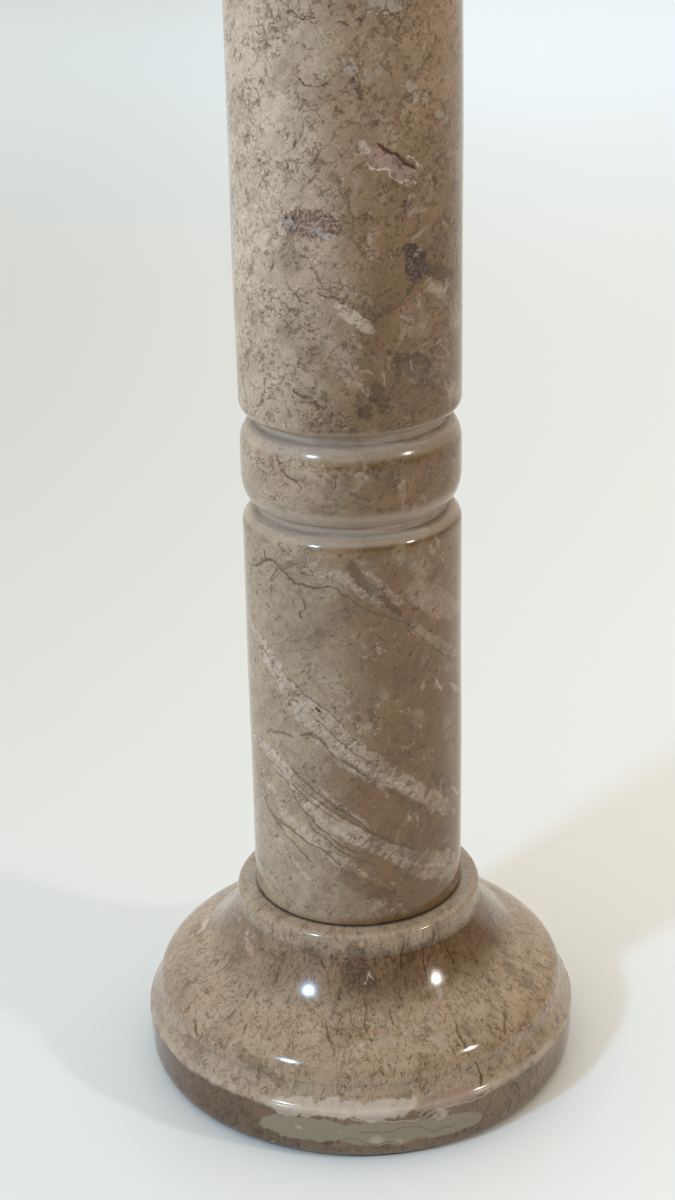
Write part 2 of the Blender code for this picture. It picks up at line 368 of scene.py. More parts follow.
class Marble(Sheet):
    """Polished brown-grey fossil marble. chart names the piece whose features are drawn."""

    def __init__(self, name, chart):
        super().__init__(name)
        self.chart = chart
        self.place = self.add("ShaderNodeTexCoord").outputs["Object"]
        x, y, z = self.parts(self.place)
        around = self.mul(self.math("ARCTAN2", x, self.mul(y, -1.0)), CHART_R[chart])
        self.up = self.mul(z, 1.0 / MM)
        flat = self.vector("MULTIPLY", self.place, (1.0 / MM, 1.0 / MM, 0.0))
        self.radius = self.vector("LENGTH", flat)
        self.side = self.math("DIVIDE", self.mul(x, 1.0 / MM), self.radius)
        chart_place = self.add("ShaderNodeCombineXYZ", {0: around, 1: self.up, 2: 0.0}).outputs[0]
        self.wander = self.vector("SUBTRACT", self.pattern("wander", output="Color"),
                                  (0.5, 0.5, 0.5))
        self.warped = self.vector("ADD", chart_place, self.vector(
            "MULTIPLY", self.wander, (WANDER_REACH, WANDER_REACH, 0.0)))
        self.warped_around, self.warped_up = self.parts(self.warped)[:2]
        slant = self.add("ShaderNodeMapping", {"Vector": self.place,
                                               "Rotation": BED_TURN}).outputs[0]
        self.beds = self.vector("MULTIPLY", slant, BED_SQUASH)
        self.tear = self.pattern("tear", self.vector("MULTIPLY", slant, TEAR_SQUASH))

    def pattern(self, name, vector=None, output="Fac"):
        """One of the named patterns, in the piece's own coordinates unless others are given."""
        values = dict(zip(("Scale", "Detail", "Roughness", "Distortion"), PATTERNS[name]))
        values["Vector"] = self.place if vector is None else vector
        return self.add("ShaderNodeTexNoise", values).outputs[output]

    def local(self, first, last, width):
        """Coordinates in which the oval with these ends and this width is the unit circle."""
        (s0, z0), (s1, z1) = on_stone(first, self.chart), on_stone(last, self.chart)
        half = 0.5 * math.hypot(s1 - s0, z1 - z0) + 0.25 * width
        tilt = math.atan2(z1 - z0, s1 - s0)
        return self.add("ShaderNodeMapping", {
            "Vector": self.warped, "Location": ((s0 + s1) / 2, (z0 + z1) / 2, 0.0),
            "Rotation": (0.0, 0.0, tilt), "Scale": (half, width / 2, 1.0)},
            vector_type="TEXTURE").outputs[0]

    def spot(self, feature, soft):
        """Mask of a filled oval: the ends of its long axis and its width."""
        return self.ramp(self.vector("LENGTH", self.local(*feature)), 1.0 + soft, 1.0 - soft)

    def loop(self, feature, soft):
        """Mask of an oval outline."""
        edge = self.math("SUBTRACT", self.vector("LENGTH", self.local(*feature)), 1.0)
        return self.ramp(self.math("ABSOLUTE", edge), 2.0 * soft, 0.5 * soft)

    def line(self, feature, soft):
        """Mask along a drawn line, 1 at its middle, tapering to nothing at both ends."""
        pixels, widths = feature
        if isinstance(widths, float):
            widths = [widths] * len(pixels)
        points = np.array([(*on_stone(pixel, self.chart), width)
                           for pixel, width in zip(pixels, widths)])
        spans = np.ptp(points, axis=0)
        main = 0 if spans[0] >= spans[1] else 1
        along, across = ((self.warped_around, self.warped_up),
                         (self.warped_up, self.warped_around))[main]
        points = points[np.argsort(points[:, main])]
        x, y, widths = points[:, main], points[:, 1 - main], points[:, 2]
        low, high = y.min() - 1.0, y.max() + 1.0
        share = self.ramp(along, float(x[0]), float(x[-1]), kind="LINEAR")
        places = (x - x[0]) / (x[-1] - x[0])
        middle = self.ramp(self.curve(share, list(zip(places, (y - low) / (high - low)))),
                           0.0, 1.0, float(low), float(high), "LINEAR")
        gap = self.math("ABSOLUTE", self.math("SUBTRACT", across, middle))
        lean = math.hypot(1.0, spans[1 - main] / max(spans[main], 1e-6))
        taper = self.mul(self.ramp(share, 0.0, FEATURE_ENDS),
                         self.ramp(share, 1.0, 1.0 - FEATURE_ENDS))
        widest = float(widths.max())
        if np.ptp(widths) > 0.0:
            taper = self.mul(taper, self.curve(share, list(zip(places, widths / widest))))
        half = self.mul(taper, 0.5 * widest * lean)
        return self.ramp(gap, self.mul(half, 1.0 + soft), self.mul(half, 1.0 - soft))

    def mask(self, kind, features, soft):
        """One mask of all the features; bands, patches and flakes get torn edges."""
        draw = {"spot": self.spot, "patch": self.spot, "flakes": self.spot, "loop": self.loop,
                "line": self.line, "band": self.line}[kind]
        total = draw(features[0], soft)
        for feature in features[1:]:
            total = self.math("MAXIMUM", total, draw(feature, soft))
        if kind == "flakes":
            return self.torn(total, FLAKE_TEAR)
        return self.torn(total) if kind in ("band", "patch") else total

    def contour(self, value, level, width):
        """Thin line wherever value passes level."""
        return self.ramp(self.math("ABSOLUTE", self.math("SUBTRACT", value, level)),
                         width, 0.25 * width)

    def crisp(self, value, level, edge):
        """1 where value is above level, with a hard edge."""
        return self.ramp(value, level - edge, level + edge)

    def torn(self, mask, amount=1.0):
        """A soft mask cut to a crisp, torn edge along the beds of the stone."""
        uneven = self.mul(self.math("SUBTRACT", self.tear, 0.5), amount)
        return self.ramp(self.math("ADD", mask, uneven), *TORN_EDGE)

    def mul(self, first, *others):
        """Product of masks and numbers; the product of masks holds where all of them do."""
        for other in others:
            first = self.math("MULTIPLY", first, other)
        return first


# Features read off the photograph. Each place is a pixel of the 675 x 1200 photograph.
# A spot or loop is the two ends of its long axis and its width in millimetres; a line is its points
# and its width in millimetres, one for the whole line or one for each point.

CREAM_CHIPS = [((243, 45), (256, 63), 5.0), ((333, 303), (372, 330), 8.0)]
LOW_CREAM_CHIPS = [((436, 681), (441, 689), 3.0), ((450, 684), (459, 690), 3.0),
                   ((434, 789), (441, 795), 3.0), ((452, 788), (458, 793), 3.0)]
GREY_FOSSILS = [((346, 60), (353, 73), 8.0), ((409, 84), (418, 102), 7.0),
                ((438, 115), (447, 123), 6.0), ((368, 6), (398, 3), 12.0)]
FOSSIL_OUTLINES = [((333, 171), (334, 185), 10.5), ((421, 346), (447, 352), 8.0),
                   ((305, 418), (323, 424), 7.0), ((304, 484), (312, 485), 5.0)]
DARK_SCALLOPS = [([(380, 14), (386, 10), (393, 14), (399, 10)], 1.2),
                 ([(414, 25), (420, 26), (423, 31), (419, 36), (412, 34)], 1.2),
                 ([(285, 14), (293, 12), (301, 18), (310, 15), (320, 21)], 1.1),
                 ([(333, 22), (340, 23), (347, 27)], 1.8), ([(355, 21), (360, 20), (364, 24)], 1.6),
                 ([(351, 79), (356, 86), (359, 95), (362, 102)], 4.0)]
BIG_FOSSIL_BODY = [((372, 154), (415, 177), 12.5)]
BIG_FOSSIL_EDGE = [([(361, 147), (365, 158), (368, 165), (376, 169), (388, 171), (394, 178),
                     (407, 183), (420, 185)], 1.3), ([(408, 155), (414, 159), (419, 167)], 1.2)]
BIG_FOSSIL_GRAIN = [((361, 144), (369, 151), 6.0)]
BIG_FOSSIL_SLIT = [([(375, 143), (384, 149), (390, 152), (403, 160), (418, 169)], 2.6)]
PURPLE_CRYSTALS = [((289, 221), (334, 226), 19.0)]
DARK_CRYSTALS = [((413, 248), (417, 277), 14.0), ((419, 262), (428, 270), 10.0)]
BLUISH_CRYSTALS = [((311, 232), (331, 236), 5.0), ((284, 220), (293, 225), 6.0)]
BLACK_DOTS = [((285, 217), (287, 218), 1.6), ((291, 216), (292, 219), 1.6),
              ((290, 225), (292, 226), 1.4)]
LOW_BLACK_DOTS = [((317, 708), (320, 711), 2.2), ((333, 708), (335, 709), 1.3)]
BROWN_PATCHES = [((434, 270), (450, 276), 11.0), ((374, 386), (383, 405), 9.0),
                 ((365, 408), (367, 417), 5.0), ((400, 360), (428, 376), 16.0),
                 ((321, 391), (325, 396), 4.0), ((406, 246), (424, 252), 6.0)]
LOW_BROWN_PATCHES = [((347, 876), (362, 893), 10.0), ((352, 884), (392, 896), 9.0),
                     ((392, 790), (413, 799), 9.0), ((370, 712), (377, 722), 6.0),
                     ((436, 776), (450, 786), 8.0)]
BROWN_WEDGE = [([(292, 389), (305, 398), (318, 406)], [1.0, 3.0, 5.0])]
PINK_STREAKS = [([(311, 323), (324, 334), (337, 349), (347, 360), (357, 372)],
                 [2.0, 3.5, 5.0, 6.0, 6.0]),
                ([(449, 384), (455, 390), (460, 398)], 8.0)]
UPPER_VEINS = [([(293, 73), (301, 82), (308, 87), (318, 88), (326, 83), (333, 82)], 0.9),
               ([(313, 289), (324, 296), (334, 298), (347, 306), (360, 314), (374, 323)], 1.0),
               ([(398, 279), (393, 288), (380, 296), (373, 304)], 0.9),
               ([(290, 287), (296, 298), (309, 301)], 0.9)]
PALE_OUTLINES = [([(429, 275), (433, 284), (440, 289), (447, 287), (452, 278)], 1.0)]
RING_CRACKLE = [([(274, 452), (279, 462), (285, 473), (296, 482), (305, 491)], 0.9),
                ([(346, 488), (361, 497), (376, 505)], 0.9), ([(335, 473), (335, 491)], 0.8)]
RING_PINK = [((262, 455), (286, 490), 26.0), ((280, 484), (316, 498), 16.0)]
RING_DOTS = [((376, 477), (380, 479), 2.4), ((415, 489), (419, 491), 2.4),
             ((379, 510), (383, 512), 2.4), ((390, 508), (394, 510), 2.0)]
OLIVE_VEIN = [([(245, 558), (256, 566), (265, 560), (274, 562), (285, 572), (300, 584), (313, 587),
                (331, 588), (343, 594), (357, 603), (373, 613), (391, 619), (405, 623), (414, 631),
                (425, 641), (437, 649), (448, 657), (458, 662)], 1.7),
              ([(259, 545), (264, 551), (265, 560)], 0.9),
              ([(305, 600), (306, 608), (300, 611), (301, 620)], 1.5)]
OLIVE_HAIRS = [([(271, 644), (295, 640), (319, 634), (340, 628), (358, 624)], 0.6),
               ([(283, 652), (320, 648), (362, 643)], 0.6),
               ([(373, 687), (396, 683), (430, 682), (458, 683)], 0.6)]
BROWN_BAND = [([(338, 556), (350, 558), (352, 567), (363, 579), (373, 588), (382, 597), (393, 607),
                (405, 618)], [2.0, 4.0, 5.5, 6.5, 6.5, 6.0, 5.0, 3.0])]
PALE_STREAKS = [([(300, 566), (322, 572), (340, 576), (362, 592), (385, 607)], 7.0),
                ([(362, 572), (376, 582), (390, 593), (404, 603)], 6.0),
                ([(405, 620), (420, 632), (436, 644), (456, 652)], 8.0)]
DARK_TICKS = [([(375, 632), (384, 639), (389, 642)], 1.3), ([(399, 646), (400, 652)], 1.2),
              ([(436, 812), (440, 814)], 1.6), ([(328, 683), (333, 690)], 1.3),
              ([(394, 738), (398, 741)], 1.4), ([(321, 776), (326, 778)], 1.4),
              ([(406, 836), (411, 827)], 1.2),
              ([(412, 806), (423, 804), (429, 813), (432, 825)], 0.9)]
MAIN_BAND = [([(248, 606), (252, 626), (260, 646), (273, 664), (284, 685), (297, 705), (315, 721),
               (334, 735), (350, 753), (373, 767), (396, 779), (416, 790), (436, 802), (458, 812)],
              [4.5, 8.0, 11.0, 14.0, 14.0, 18.0, 22.0, 24.0, 22.0, 18.0, 13.0, 12.0, 11.0,
               10.0])]
MAIN_BAND_WHITE = [([(252, 630), (262, 650), (273, 660), (284, 679)], [3.0, 6.0, 7.0, 4.0]),
                   ([(327, 695), (336, 705), (350, 719), (361, 735)], 2.4),
                   ([(316, 728), (334, 741), (352, 759), (373, 772), (396, 783), (414, 792)], 3.0)]
MAIN_BAND_DARK = [([(297, 735), (313, 735), (324, 742), (334, 756), (347, 763), (361, 773),
                    (373, 781)], 2.6), ([(265, 732), (280, 733), (295, 736)], 2.0),
                  ([(286, 672), (300, 690), (318, 704), (340, 722), (356, 741)], 1.0)]
SECOND_BAND = [([(251, 730), (269, 753), (283, 769), (297, 788), (311, 804), (324, 818), (338, 827),
                 (354, 836), (373, 845), (396, 854), (419, 864), (442, 864), (460, 857)],
                [3.0, 10.0, 14.0, 15.0, 15.0, 14.0, 13.0, 12.0, 13.0, 16.0, 19.0, 19.0, 16.0])]
SECOND_BAND_WHITE = [([(256, 736), (270, 750), (284, 764), (298, 782), (312, 797)], 2.2),
                     ([(313, 781), (327, 795), (341, 806), (354, 817), (372, 828)], 3.6),
                     ([(276, 766), (292, 786), (306, 803), (322, 820), (340, 832), (360, 842)],
                      2.0), ([(380, 850), (400, 857), (425, 866), (450, 862)], 2.6)]
BAND_THREADS = [([(256, 742), (272, 762), (290, 782), (308, 800), (330, 816), (352, 828)], 0.9),
                ([(292, 778), (308, 794), (326, 808), (346, 821), (366, 832), (392, 843)], 1.1),
                ([(300, 812), (316, 830), (334, 846), (354, 858), (376, 866)], 1.2),
                ([(262, 792), (272, 812), (284, 832), (300, 850), (316, 868)], 1.4),
                ([(310, 716), (326, 728), (342, 744), (362, 758), (384, 770)], 0.9),
                ([(256, 640), (268, 656), (280, 674)], 0.8)]
SECOND_BAND_DARK = [([(283, 760), (297, 774), (311, 788), (327, 802), (343, 813), (355, 821),
                      (373, 833), (391, 841), (410, 848), (430, 851)], 1.6),
                    ([(274, 769), (290, 786), (304, 811), (320, 827), (334, 841), (350, 850),
                      (363, 857)], 1.3),
                    ([(269, 813), (288, 827), (306, 841), (318, 847), (334, 859), (347, 873),
                      (352, 882)], 1.5)]
THIRD_BAND = [([(253, 760), (258, 767), (269, 783), (279, 804), (288, 818), (304, 831), (320, 845),
                (334, 857), (350, 866), (366, 877), (377, 884)],
               [3.0, 5.0, 8.0, 9.0, 8.0, 8.0, 8.0, 7.0, 6.0, 5.0, 4.0]),
              ([(265, 820), (279, 838), (290, 857), (302, 870), (313, 882), (322, 893)], 2.6)]
RIGHT_MOTTLE = [((412, 590), (452, 611), 20.0)]

# Dark grainy patch at the front of the cove under the seat: painted shade with grain.
COVE_PAINTED_SHADE = [((353, 950), (357, 982), 26.0), ((344, 968), (370, 980), 20.0)]
COVE_PALE_MARK = [([(362, 966), (368, 974), (366, 984), (374, 980)], 1.4)]
BASE_DARK = [([(421, 941), (423, 952), (424, 969), (435, 981)], 1.8),
             ([(404, 941), (402, 972)], 2.0), ([(320, 957), (325, 969)], 1.8),
             ([(325, 1020), (329, 1034), (332, 1048)], 1.5),
             ([(443, 939), (449, 952), (455, 966)], 2.2),
             ([(364, 996), (366, 1010), (365, 1027), (376, 1036)], 1.6),
             ([(455, 1020), (461, 1038), (470, 1057)], 2.0),
             ([(196, 1017), (199, 1038)], 2.5), ([(505, 1012), (504, 1034)], 2.0),
             ([(474, 1060), (480, 1074), (478, 1088)], 1.8), ([(389, 1010), (395, 1024)], 1.4)]
BASE_DARK_PATCHES = [((234, 1048), (262, 1068), 9.0), ((262, 1068), (284, 1084), 7.0),
                     ((515, 970), (529, 984), 13.0), ((188, 1040), (205, 1052), 9.0),
                     ((400, 944), (414, 962), 14.0)]
PLINTH_WAVES = [([(300, 1136), (330, 1143), (352, 1138), (372, 1144), (400, 1140)], 1.2),
                ([(352, 1128), (380, 1133), (408, 1126), (440, 1130), (462, 1120)], 1.0)]
BASE_OLIVE = [([(292, 1030), (294, 1042), (293, 1057)], 0.9), ([(282, 1028), (279, 1040)], 0.9),
              ([(364, 992), (370, 1006), (374, 1016)], 1.6)]
BASE_PINK = [((380, 1038), (392, 1042), 7.0), ((434, 1038), (446, 1042), 6.0),
             ((450, 1059), (460, 1061), 5.0), ((247, 944), (252, 955), 6.0)]
BASE_CREAM_STREAK = [([(208, 918), (203, 926), (197, 935)], 2.4)]
VALLEY_WHITE = [((283, 1107), (352, 1110), 12.0), ((345, 1111), (414, 1107), 14.0),
                ((392, 1104), (419, 1101), 9.0)]
VALLEY_PINK = [((420, 1104), (473, 1091), 9.0)]
VALLEY_SPOTS = [((396, 1097), (411, 1097), 3.0)]
# A painted highlight along the lip's edge.
LIP_HIGHLIGHT_LINE = [([(300, 1113), (342, 1117), (357, 1121), (377, 1122), (405, 1121), (419, 1118),
               (442, 1108), (474, 1099), (499, 1082)], 1.6)]
PLINTH_GREEN = [((266, 1122), (350, 1132), 19.0), ((340, 1133), (420, 1131), 19.0),
                ((400, 1130), (476, 1118), 17.0)]
PLINTH_MARK = [((373, 1140), (382, 1140), 7.0)]


# Stone colours, as reflectances

DEEP, PALE_BEIGE, CREAM = (0.115, 0.066, 0.034), (0.42, 0.35, 0.275), (0.60, 0.49, 0.38)
# Pale beds: the right colour is partly darkened as painted shade.
BED_LEFT, BED_RIGHT = (0.53, 0.43, 0.345), (0.37, 0.275, 0.20)
NEAR_WHITE, PINK, PINK_GREY = (0.58, 0.49, 0.41), (0.38, 0.255, 0.195), (0.30, 0.195, 0.155)
MAUVE, MAUVE_DARK, SMOKY = (0.36, 0.235, 0.19), (0.13, 0.068, 0.052), (0.016, 0.010, 0.010)
BLUISH, FOSSIL = (0.46, 0.42, 0.41), (0.37, 0.33, 0.28)
VEIN_BROWN, OLIVE, BLACK = (0.085, 0.048, 0.025), (0.105, 0.072, 0.03), (0.02, 0.015, 0.012)
DARK_RED, GREEN_GREY, GROUND = (0.085, 0.016, 0.010), (0.265, 0.225, 0.155), (0.38, 0.31, 0.255)
# Tints that darken what lies below
MARK, SHADE = (0.40, 0.31, 0.24), (0.46, 0.38, 0.31)
# Painted shade: the first darkens the plinth face below the lip, the second the cove under the
# seat.
PLINTH_SHADE_TINT, COVE_SHADE_TINT = (0.30, 0.22, 0.155), (0.35, 0.25, 0.165)

# Left and right tone of each piece: the darker right is partly the stone's own tone and partly
# painted shade; the shaft pales towards its head, sooner on the left, as painted light.
TONES_AND_SHADE = {"base": ((0.345, 0.25, 0.167), (0.335, 0.235, 0.145)),
         "capital": ((0.36, 0.265, 0.18), (0.27, 0.185, 0.115))}
LOW_LEFT, HIGH_LEFT_LIT = (0.365, 0.275, 0.188), (0.57, 0.45, 0.345)
LOW_RIGHT_SHADED, HIGH_RIGHT = (0.170, 0.095, 0.040), (0.29, 0.19, 0.115)
LEFT_PAINTED_LIGHT_SPAN, RIGHT_PAINTED_LIGHT_SPAN = (430.0, 640.0), (590.0, 745.0)      # millimetres up

# Layers over the stone, lowest first: shape, colour, strength, softness of its edge, features.
UPPER_LAYERS = [
    ("flakes", SHADE, 0.75, 0.9, BROWN_PATCHES), ("line", SHADE, 0.9, 0.6, BROWN_WEDGE),
    ("patch", PINK, 0.45, 0.8, RING_PINK), ("band", PINK, 0.7, 0.8, PINK_STREAKS),
    ("spot", FOSSIL, 0.55, 0.25, GREY_FOSSILS), ("loop", PALE_BEIGE, 0.25, 0.10, FOSSIL_OUTLINES),
    ("line", PALE_BEIGE, 0.6, 0.45, PALE_OUTLINES),
    ("line", VEIN_BROWN, 0.85, 0.5, DARK_SCALLOPS + UPPER_VEINS + RING_CRACKLE),
    ("patch", "mauve grain", 0.85, 0.7, PURPLE_CRYSTALS),
    ("patch", "smoky grain", 0.85, 0.7, DARK_CRYSTALS),
    ("patch", BLUISH, 0.45, 0.9, BLUISH_CRYSTALS),
    ("spot", PINK_GREY, 0.95, 0.12, BIG_FOSSIL_BODY),
    ("line", NEAR_WHITE, 0.7, 0.45, BIG_FOSSIL_EDGE),
    ("patch", NEAR_WHITE, 0.5, 0.8, BIG_FOSSIL_GRAIN),
    ("line", DARK_RED, 1.0, 0.4, BIG_FOSSIL_SLIT), ("spot", CREAM, 0.50, 0.2, CREAM_CHIPS),
    ("spot", BLACK, 0.9, 0.2, BLACK_DOTS), ("spot", VEIN_BROWN, 0.7, 0.3, RING_DOTS)]
LOWER_LAYERS = [
    ("flakes", SHADE, 0.50, 0.9, LOW_BROWN_PATCHES), ("band", "bed", 0.50, 0.9, PALE_STREAKS),
    ("band", SHADE, 0.65, 0.9, BROWN_BAND), ("patch", PINK, 0.40, 0.9, RIGHT_MOTTLE),
    ("band", "bed", 0.75, 0.9, MAIN_BAND), ("band", "bed", 0.65, 0.9, THIRD_BAND),
    ("band", "bed", 0.75, 0.9, SECOND_BAND),
    ("band", NEAR_WHITE, 0.30, 0.9, MAIN_BAND_WHITE + SECOND_BAND_WHITE),
    ("line", VEIN_BROWN, 0.65, 0.6, MAIN_BAND_DARK + SECOND_BAND_DARK + DARK_TICKS
     + BAND_THREADS),
    ("line", OLIVE, 0.9, 0.5, OLIVE_VEIN), ("line", OLIVE, 0.6, 0.5, OLIVE_HAIRS),
    ("flakes", CREAM, 0.35, 0.7, LOW_CREAM_CHIPS), ("spot", BLACK, 0.9, 0.2, LOW_BLACK_DOTS)]
BASE_LAYERS = [
    ("patch", "smoky grain", 0.55, 0.9, COVE_PAINTED_SHADE), ("line", PALE_BEIGE, 0.7, 0.5, COVE_PALE_MARK),
    ("line", OLIVE, 0.7, 0.5, BASE_OLIVE), ("patch", PINK, 0.6, 0.8, BASE_PINK),
    ("line", CREAM, 0.5, 0.5, BASE_CREAM_STREAK),
    ("line", SHADE, 0.95, 0.6, BASE_DARK), ("flakes", SHADE, 0.50, 0.9, BASE_DARK_PATCHES),
    ("patch", GREEN_GREY, 0.85, 0.35, PLINTH_GREEN), ("spot", CREAM, 0.4, 0.4, PLINTH_MARK),
    ("line", SHADE, 0.6, 0.6, PLINTH_WAVES),
    ("flakes", NEAR_WHITE, 0.55, 0.8, VALLEY_WHITE), ("patch", PINK_GREY, 0.6, 0.8, VALLEY_PINK),
    ("patch", OLIVE, 0.6, 0.6, VALLEY_SPOTS), ("line", NEAR_WHITE, 0.4, 0.8, LIP_HIGHLIGHT_LINE)]


def laid(m, name, mask, colour, tone):
    """colour with a tone laid over the masked places, as strongly as the name says."""
    return m.mix(m.mul(mask, STRENGTHS[name]), colour, tone)


def marked(m, name, mask, colour, tint=MARK):
    """colour with the masked places darkened by a tint, as strongly as the name says."""
    return m.mix(m.mul(mask, STRENGTHS[name]), colour, tint, "MULTIPLY")


def shaded(m, colour, pattern, span, shades):
    """colour made darker and lighter by a pattern: shades are the factors at the span's ends."""
    return m.mix(1.0, colour, m.ramp(pattern, *span, *shades, "LINEAR"), "MULTIPLY")


def tone_light_and_shade(m):
    """Broad colour: beige and grey to the left, warm brown to the right, darker partly as painted
    shade, paler towards the shaft's head as painted light, with faint clouds.
    """
    clouds = m.pattern("clouds")
    uneven = m.mul(m.math("SUBTRACT", m.pattern("broad"), 0.5), TONE_DRIFT)
    drift = m.math("ADD", m.side, uneven)
    if m.chart == "shaft":
        left = m.mix(m.ramp(m.up, *LEFT_PAINTED_LIGHT_SPAN, kind="LINEAR"), LOW_LEFT, HIGH_LEFT_LIT)
        right = m.mix(m.ramp(m.up, *RIGHT_PAINTED_LIGHT_SPAN, kind="LINEAR"), LOW_RIGHT_SHADED, HIGH_RIGHT)
    else:
        left, right = TONES_AND_SHADE[m.chart]
    colour = m.mix(m.ramp(drift, *TONE_SHADE_EDGES), left, right)
    dark, pale = m.ramp(clouds, 0.54, 0.70), m.ramp(clouds, 0.47, 0.30)
    colour = laid(m, "dark clouds", dark, colour, DEEP)
    return laid(m, "pale clouds", pale, colour, PALE_BEIGE)


def fine_marks(m, colour, amount):
    """Grain, small brown flecks and worm-like lines; amount is their share, a value or socket."""
    mottle = m.pattern("mottle")
    colour = shaded(m, colour, mottle, (0.3, 0.7), (0.84, 1.14))
    colour = shaded(m, colour, m.pattern("grain"), (0.3, 0.7), (0.89, 1.10))
    worms = m.mul(m.contour(m.pattern("worms"), 0.5, 0.055),
                  m.crisp(m.pattern("worm gaps"), 0.47, 0.05),
                  m.ramp(m.pattern("worm patches"), 0.43, 0.53))
    colour = marked(m, "worms", m.mul(worms, amount), colour)
    curls = m.mul(m.contour(m.pattern("curls"), 0.46, 0.06), m.ramp(mottle, 0.50, 0.60))
    colour = marked(m, "curls", m.mul(curls, amount), colour)
    wavy = m.vector("ADD", m.place, m.vector("MULTIPLY", m.wander, (SEAM_WAVE,) * 3))
    seams = m.mul(m.ramp(m.cells(wavy, SEAM_CELLS, "DISTANCE_TO_EDGE"), 0.045, 0.012),
                  m.crisp(m.pattern("seam gaps"), 0.50, 0.05))
    colour = marked(m, "seams", m.mul(seams, amount), colour, SHADE)
    flecks = m.pattern("flecks", m.vector("MULTIPLY", m.beds, FLECK_SQUASH))
    colour = marked(m, "flecks", m.ramp(flecks, 0.61, 0.68), colour)
    blots = m.pattern("blots")
    dark, pale = m.ramp(blots, 0.60, 0.66), m.ramp(blots, 0.40, 0.35)
    colour = marked(m, "blots", m.mul(dark, amount), colour, SHADE)
    return laid(m, "pale blots", pale, colour, PALE_BEIGE)


def bed_tone_and_shade(m):
    """Colour of the pale beds, darker to the right, partly the stone's own tone and partly painted
    shade.
    """
    return m.mix(m.ramp(m.side, -0.8, 0.5), BED_LEFT, BED_RIGHT)


def drawn(m, colour, layers, streaks, beds):
    """The drawn features over colour; bands are streaked along their length and join the beds."""
    speckle = m.crisp(m.pattern("speckle"), 0.52, 0.08)
    tones = {"mauve grain": m.mix(speckle, MAUVE_DARK, MAUVE),
             "smoky grain": m.mix(speckle, SMOKY, MAUVE_DARK), "bed": bed_tone_and_shade(m)}
    streaky = m.ramp(streaks, 0.38, 0.56, 0.35, 1.0)
    for kind, tone, strength, soft, features in layers:
        mask = m.mask(kind, features, soft)
        if kind == "band":
            beds = m.math("MAXIMUM", beds, mask)
            mask = m.mul(mask, streaky)
        blend = "MULTIPLY" if tone is SHADE else "MIX"
        colour = m.mix(m.mul(mask, strength), colour, tones.get(tone, tone), blend)
    return colour, beds


def hidden_beds(m, colour, streaks):
    """Pale torn beds on the back of the column, and their mask."""
    back = m.mul(m.parts(m.place)[1], 1.0 / MM)
    behind = m.ramp(m.math("DIVIDE", back, m.radius), 0.1, 0.5)
    beds = m.mul(m.torn(m.ramp(m.pattern("wide beds", m.beds), 0.50, 0.66)), behind)
    streaky = m.mul(beds, m.ramp(streaks, 0.38, 0.58))
    return laid(m, "hidden beds", streaky, colour, BED_RIGHT), beds


def veins_and_pits(m, colour, beds):
    """Dark crackle in the beds, olive hairs, round pale shells and small pits."""
    crackle = m.contour(m.pattern("crackle"), 0.5, 0.022)
    threads = m.contour(m.pattern("threads", m.beds), 0.5, 0.022)
    cracks = m.mul(m.math("MAXIMUM", crackle, threads), beds,
                   m.ramp(m.pattern("thread gaps"), 0.42, 0.52))
    colour = marked(m, "crackle", cracks, colour)
    hairs = m.mul(m.contour(m.pattern("hairs"), 0.5, 0.006),
                  m.ramp(m.pattern("hair gaps"), 0.45, 0.55))
    colour = laid(m, "hairs", hairs, colour, OLIVE)
    shells = m.ramp(m.cells(m.place, SHELL_CELLS), 0.085, 0.05)
    colour = laid(m, "shells", shells, colour, PALE_BEIGE)
    pits = m.ramp(m.cells(m.place, PIT_CELLS), 0.065, 0.045)
    return laid(m, "pits", pits, colour, VEIN_BROWN)


def marble(name, chart, layers):
    """The stone of one piece, with its drawn features.

    The small marks cross the features of the shaft, and the features of the base cover them.
    """
    m = Marble(name, chart)
    streaks = m.pattern("streaks", m.beds)
    colour = shaded(m, tone_light_and_shade(m), streaks, (0.34, 0.66), (0.84, 1.14))
    colour, beds = hidden_beds(m, colour, streaks)
    amount = SMALL_MARKS[chart]
    if chart == "shaft":
        colour, beds = drawn(m, colour, layers, streaks, beds)
        amount = m.ramp(m.up, LOW_GROOVE, HIGH_GROOVE, *amount)
    colour = veins_and_pits(m, fine_marks(m, colour, amount), beds)
    rough = m.ramp(m.pattern("polish"), 0.3, 0.7, *POLISH, "LINEAR")
    if chart == "shaft":
        colour, rough = ground_grooves(m, colour, rough)
        foot = m.ramp(m.up, SHAFT_FOOT + 1.6, SHAFT_FOOT + 0.6)
        colour = laid(m, "shaft foot", foot, colour, BLACK)
    else:
        colour = meridian_dashes(m, colour)
    if chart == "base":
        colour = drawn(m, base_zones(m, colour), layers, streaks, beds)[0]
        ledge = m.ramp(m.up, BASE_TOP - 2.0, BASE_TOP - 0.8)
        rough = m.math("MAXIMUM", rough, m.mul(ledge, LEDGE_DULL))
    m.put(colour, m.shader.inputs["Base Color"])
    m.put(rough, m.shader.inputs["Roughness"])
    return m.material


